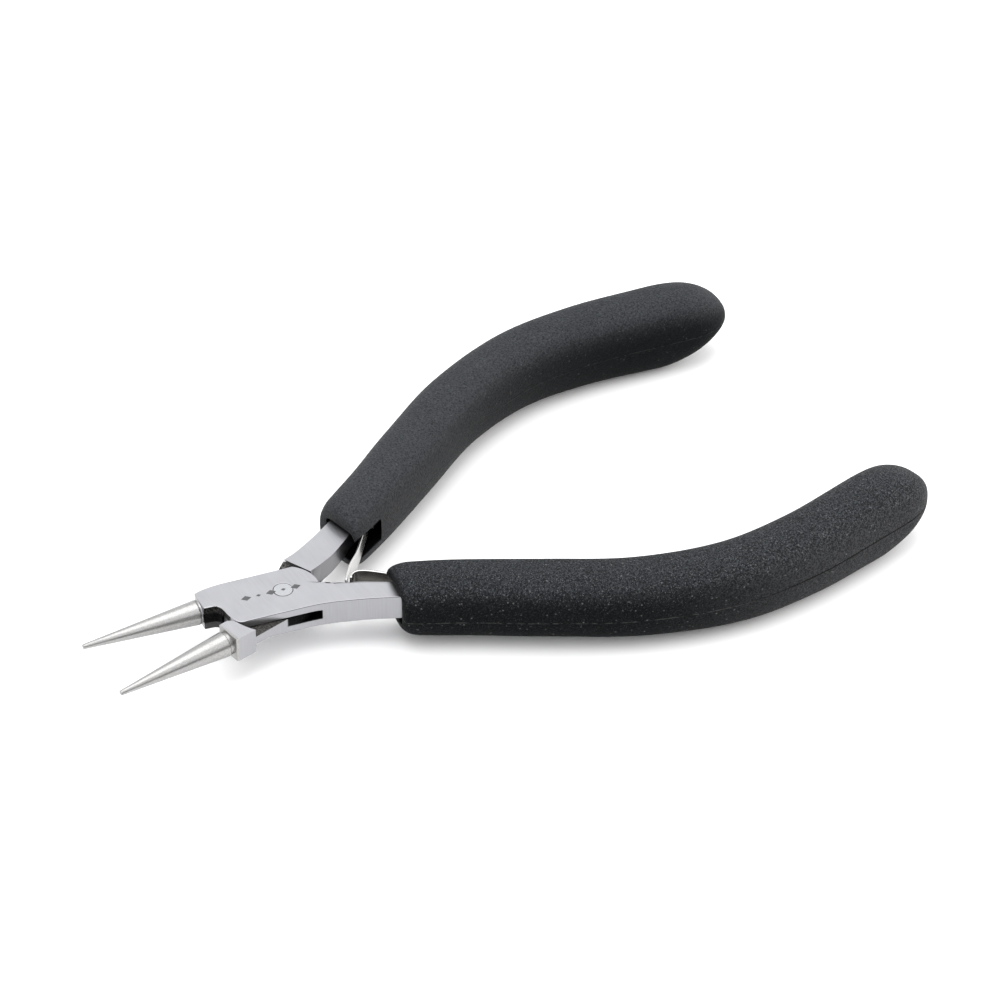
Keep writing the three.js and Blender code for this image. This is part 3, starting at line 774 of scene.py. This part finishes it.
class Rubber(Nodes):
    """Soft rubber with a fine pebbled skin, painted light on its upper side and where the lamp falls,
    painted glints, pale dust specks and a moulding line.
    """

    def __init__(self, name):
        super().__init__(name)
        self.pebble = self.noise(0.31, 2, 0.6)
        self.finer = self.noise(0.19, 2, 0.6)
        normal_z = self.normal()["Z"]
        # painted light: faces that turn up take the paler top colour, as if lit from above
        self.upper = self.remap(normal_z, 0.0, 0.85, 0, 1, True)
        self.standing = self.remap(self.math("ABSOLUTE", normal_z), 0.75, 0.55)
        position = self.split(self.place)
        self.x, self.z = position["X"], position["Z"]
        self.on_inner_grip = self.remap(position["Y"], -2 * MM, 2 * MM)

    def grained(self):
        """The pebbled skin, with painted light: faces that turn up are paler, more so on the inner grip,
        and the sides are painted paler where the lamp falls on them, at the outer grip's rear and the inner
        grip's front. The inner grip's grain is softer."""
        # painted light: the sides turn paler where the lamp to the right falls on them
        lamp_lit_rear = self.remap(self.x, 45 * MM, 85 * MM, 0, 1, True)
        lamp_lit_front = self.remap(self.x, 90 * MM, 15 * MM, 0, 1, True)
        lamp_lit = self.mix_value(self.on_inner_grip, lamp_lit_rear, lamp_lit_front)
        side_base = self.mix_colour(lamp_lit, (0.0040, 0.0050, 0.0056), (0.042, 0.043, 0.045))
        side_deep = self.mix_colour(lamp_lit, (0.0015, 0.0020, 0.0022), (0.0150, 0.0158, 0.0168))
        # painted light: the colour of faces that turn up, paler again on the inner grip
        top = self.mix_colour(self.on_inner_grip, (0.0335, 0.0363, 0.0402), (0.046, 0.049, 0.054))
        uneven = self.remap(self.noise(6, 3, 0.6), 0.3, 0.7, 0.78, 1.0)
        base = self.mix_colour(self.product(self.upper, uneven), side_base, top)
        deep = self.mix_colour(self.upper, side_deep, (0.0108, 0.0115, 0.0127))
        grain, softer = self.remap(self.pebble, 0.45, 0.57), self.remap(self.pebble, 0.25, 0.65)
        return self.mix_colour(self.mix_value(self.on_inner_grip, grain, softer), deep, base)

    def glints_and_dust(self, grained):
        """Pale flecks over the grain, painted glints of the pebbles that are strongest on faces that turn
        up, and specks of dust; both fewer on the inner grip.
        """
        glint = self.product(
            self.remap(self.finer, 0.59, 0.66, 0, 0.9),
            self.remap(self.upper, 0.0, 0.7, 0.3, 1),
            self.remap(self.on_inner_grip, 0, 1, 1, 0.35),
        )
        glinted = self.mix_colour(glint, grained, (0.104, 0.108, 0.114))
        dust = self.product(
            self.remap(self.voronoi(0.8), 0.12, 0.26, 1, 0, True),
            self.remap(self.noise(1.1, 2), 0.5, 0.62, 0, 0.6, True),
            self.remap(self.on_inner_grip, 0, 1, 1, 0.4),
        )
        return self.mix_colour(dust, glinted, (0.13, 0.13, 0.13))

    def lined(self, glints_and_dust):
        """The moulding line, pale where it is scuffed, with a near black line of painted shade along it at
        the outer grip's rear, where the rubber folds. Also tells where the line is."""
        height = self.remap(self.x, 20 * MM, 100 * MM, METAL_MIDDLE - 1.2 * MM, METAL_MIDDLE)
        from_line = self.from_height(self.z, height)
        line = self.product(self.remap(from_line, 0.04 * MM, 0.15 * MM, 1, 0, True), self.standing)
        wide_line = self.product(self.remap(from_line, 0.08 * MM, 0.2 * MM, 1, 0, True), self.standing)
        on_outer_grip = self.remap(self.on_inner_grip, 0, 1, 1, 0)
        # painted shade: a near black line along the moulding line where the rubber folds
        fold_shade = self.product(self.remap(self.x, 62 * MM, 76 * MM), on_outer_grip)
        pale = self.product(
            line,
            self.remap(self.noise(0.9, 2), 0.42, 0.56),
            self.remap(self.on_inner_grip, 0, 1, 0.42, 0.14),
            self.remap(fold_shade, 0, 0.6, 1, 0),
        )
        lined = self.mix_colour(pale, glints_and_dust, (0.10, 0.10, 0.10))
        return self.mix_colour(self.product(wide_line, fold_shade), lined, (0.001, 0.001, 0.001)), line


def charcoal_rubber(name):
    nodes = Rubber(name)
    lined, line = nodes.lined(nodes.glints_and_dust(nodes.grained()))
    inside = nodes.add("ShaderNodeAttribute", attribute_name="inside").outputs["Fac"]
    # painted shade: the hollow at the grip's front is painted near black
    nodes.colour(nodes.mix_colour(nodes.remap(inside, 0.02, 0.2), lined, (0.002, 0.002, 0.002)))
    nodes.roughness(nodes.remap(nodes.finer, 0.3, 0.7, 0.5, 0.62))
    nodes.shader.inputs["Specular IOR Level"].default_value = 0.042
    first = nodes.bump(nodes.pebble, 0.17, 1.0)
    second = nodes.bump(nodes.finer, 0.06, 0.9, first)
    nodes.bump(line, 0.12, 1.0, second)
    return nodes.material


# ---------------------------------------------------------------- steel parts

LEVER_EDGE = {"outer": 0.15, "inner": 0.12}  # rounding of the levers' sharp edges


def finish_steel(node_name, material, edge):
    """Rounds a packed steel node's sharp edges and gives it its finish."""
    node = frame["nodes"][node_name]
    normals = node.data.attributes.get("custom_normal")
    if normals:
        node.data.attributes.remove(normals)
    node.data.polygons.foreach_set("use_smooth", [True] * len(node.data.polygons))
    weld = node.modifiers.new("join_corners", "WELD")
    weld.merge_threshold = WELD_REACH
    flat = node.modifiers.new("whole_faces", "DECIMATE")
    flat.decimate_type = "DISSOLVE"
    flat.angle_limit = FLAT_ANGLE
    bevel = add_bevel(node, edge)
    # the outer lever's curved outline has short edges all along, which would limit its rounding
    bevel.use_clamp_overlap = node_name != "outer_lever"
    for slot in node.material_slots:
        slot.material = material
    return node


# ---------------------------------------------------------------- camera, light, floor


def aim(obj, target):
    obj.rotation_mode = "QUATERNION"
    obj.rotation_quaternion = (Vector(target) - obj.location).to_track_quat("-Z", "Y")


# The camera, as it was fitted to the photograph
CAMERA_AZIMUTH = math.radians(-31.508)
CAMERA_ELEVATION = math.radians(38.387)
CAMERA_DISTANCE = 660.106 * MM
CAMERA_TARGET = (43.435 * MM, 3.967 * MM, METAL_MIDDLE)


def make_camera():
    azimuth, elevation = CAMERA_AZIMUTH, CAMERA_ELEVATION
    target = Vector(CAMERA_TARGET)
    back = Vector(
        (
            math.sin(azimuth) * math.cos(elevation),
            -math.cos(azimuth) * math.cos(elevation),
            math.sin(elevation),
        )
    )
    data = bpy.data.cameras.new("camera")
    data.sensor_width = 36
    data.lens = 142.6
    data.clip_start = 0.01
    data.clip_end = 20
    camera = bpy.data.objects.new("camera", data)
    camera.location = target + back * CAMERA_DISTANCE
    aim(camera, target)
    SCENE.collection.objects.link(camera)
    SCENE.camera = camera


def softbox(name, place, size, power, target=(0.045, 0, 0), colour=(1, 1, 1)):
    data = bpy.data.lights.new(name, "AREA")
    data.color = colour
    data.shape = "RECTANGLE"
    data.size, data.size_y = size
    data.energy = power
    lamp = bpy.data.objects.new(name, data)
    lamp.location = place
    aim(lamp, target)
    SCENE.collection.objects.link(lamp)


def make_floor():
    mesh = bpy.data.meshes.new("floor")
    reach = 4.0
    corners = [(-reach, -reach), (reach, -reach), (reach, reach), (-reach, reach)]
    mesh.from_pydata([(x, y, FLOOR_HEIGHT) for x, y in corners], [], [(0, 1, 2, 3)])
    nodes = Nodes("pale_floor")
    nodes.colour(nodes.mix_colour(nodes.noise(400, 1), (0.925, 0.925, 0.926), (0.94, 0.94, 0.941)))
    nodes.shader.inputs["Roughness"].default_value = 0.9
    nodes.shader.inputs["Specular IOR Level"].default_value = 0.1
    mesh.materials.append(nodes.material)
    floor = bpy.data.objects.new("floor", mesh)
    SCENE.collection.objects.link(floor)


def make_light():
    """A bright studio, dark low down on the photographer's side, with a warm lamp to their right."""
    world = bpy.data.worlds.new("studio")
    world.use_nodes = True
    tree = world.node_tree
    background = tree.nodes["Background"]

    def ramp(value, settings):
        node = tree.nodes.new("ShaderNodeMapRange")
        node.interpolation_type = "SMOOTHSTEP"
        for key, number in zip(("From Min", "From Max", "To Min", "To Max"), settings):
            node.inputs[key].default_value = number
        tree.links.new(value, node.inputs["Value"])
        return node.outputs["Result"]

    direction = tree.nodes.new("ShaderNodeSeparateXYZ")
    tree.links.new(tree.nodes.new("ShaderNodeTexCoord").outputs["Generated"], direction.inputs[0])
    behind = ramp(direction.outputs["Y"], (-0.45, 0.2, 0, 1))
    front = ramp(direction.outputs["Z"], (0.18, 0.6, 0.065, 1.69))
    brightness = tree.nodes.new("ShaderNodeMix")
    tree.links.new(behind, brightness.inputs[0])
    tree.links.new(front, brightness.inputs[2])
    brightness.inputs[3].default_value = 1.38
    background.inputs["Color"].default_value = (0.985, 0.99, 1.0, 1)
    tree.links.new(brightness.outputs[0], background.inputs["Strength"])
    SCENE.world = world
    softbox("overhead", (0.0, 0.1, 0.95), (1.0, 0.8), 5.07)
    softbox("right_lamp", (0.78, -0.42, 0.33), (0.75, 0.55), 3.77, colour=(1.0, 0.965, 0.92))
    SCENE.view_settings.view_transform = "Standard"


# ---------------------------------------------------------------- build

rivet_steel = turned_steel("rivet_steel")
rubber = charcoal_rubber("charcoal_rubber")
# One spring steel in two copies: the outer leaf's is painted much darker as shade, the inner leaf's is the
# lit one.
spring_steels = {
    "outer": spring_steel_finish("spring_steel_shaded", (0.115, 0.108, 0.098), (0.158, 0.152, 0.141)),
    "inner": spring_steel_finish("spring_steel_lit", (0.477, 0.469, 0.458), (0.554, 0.55, 0.538)),
}
print_grey = print_enamel("print_grey", (0.060, 0.062, 0.065), (0.046, 0.048, 0.050))

finish_steel("pivot_rivet", rivet_steel, 0.03)
for side in ("outer", "inner"):
    finish_steel(f"{side}_lever", lever_steel(f"satin_steel_{side}", side), LEVER_EDGE[side])
    finish_steel(f"{side}_spring_rivet", rivet_steel, 0.08)

    leaf = leaf_strip(f"{side}_leaf", side, [spring_steels[side]])
    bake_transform(leaf)
    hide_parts(f"{side}_leaf_spring")

    grip = grip_mesh(f"{side}_grip_skin", side, [rubber])
    add_bevel(grip, 0.12, 2, 50)
    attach(grip, f"{side}_half")
    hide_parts(f"{side}_grip")
make_ornament(print_grey)

make_floor()
make_light()
make_camera()

bpy.context.view_layer.update()
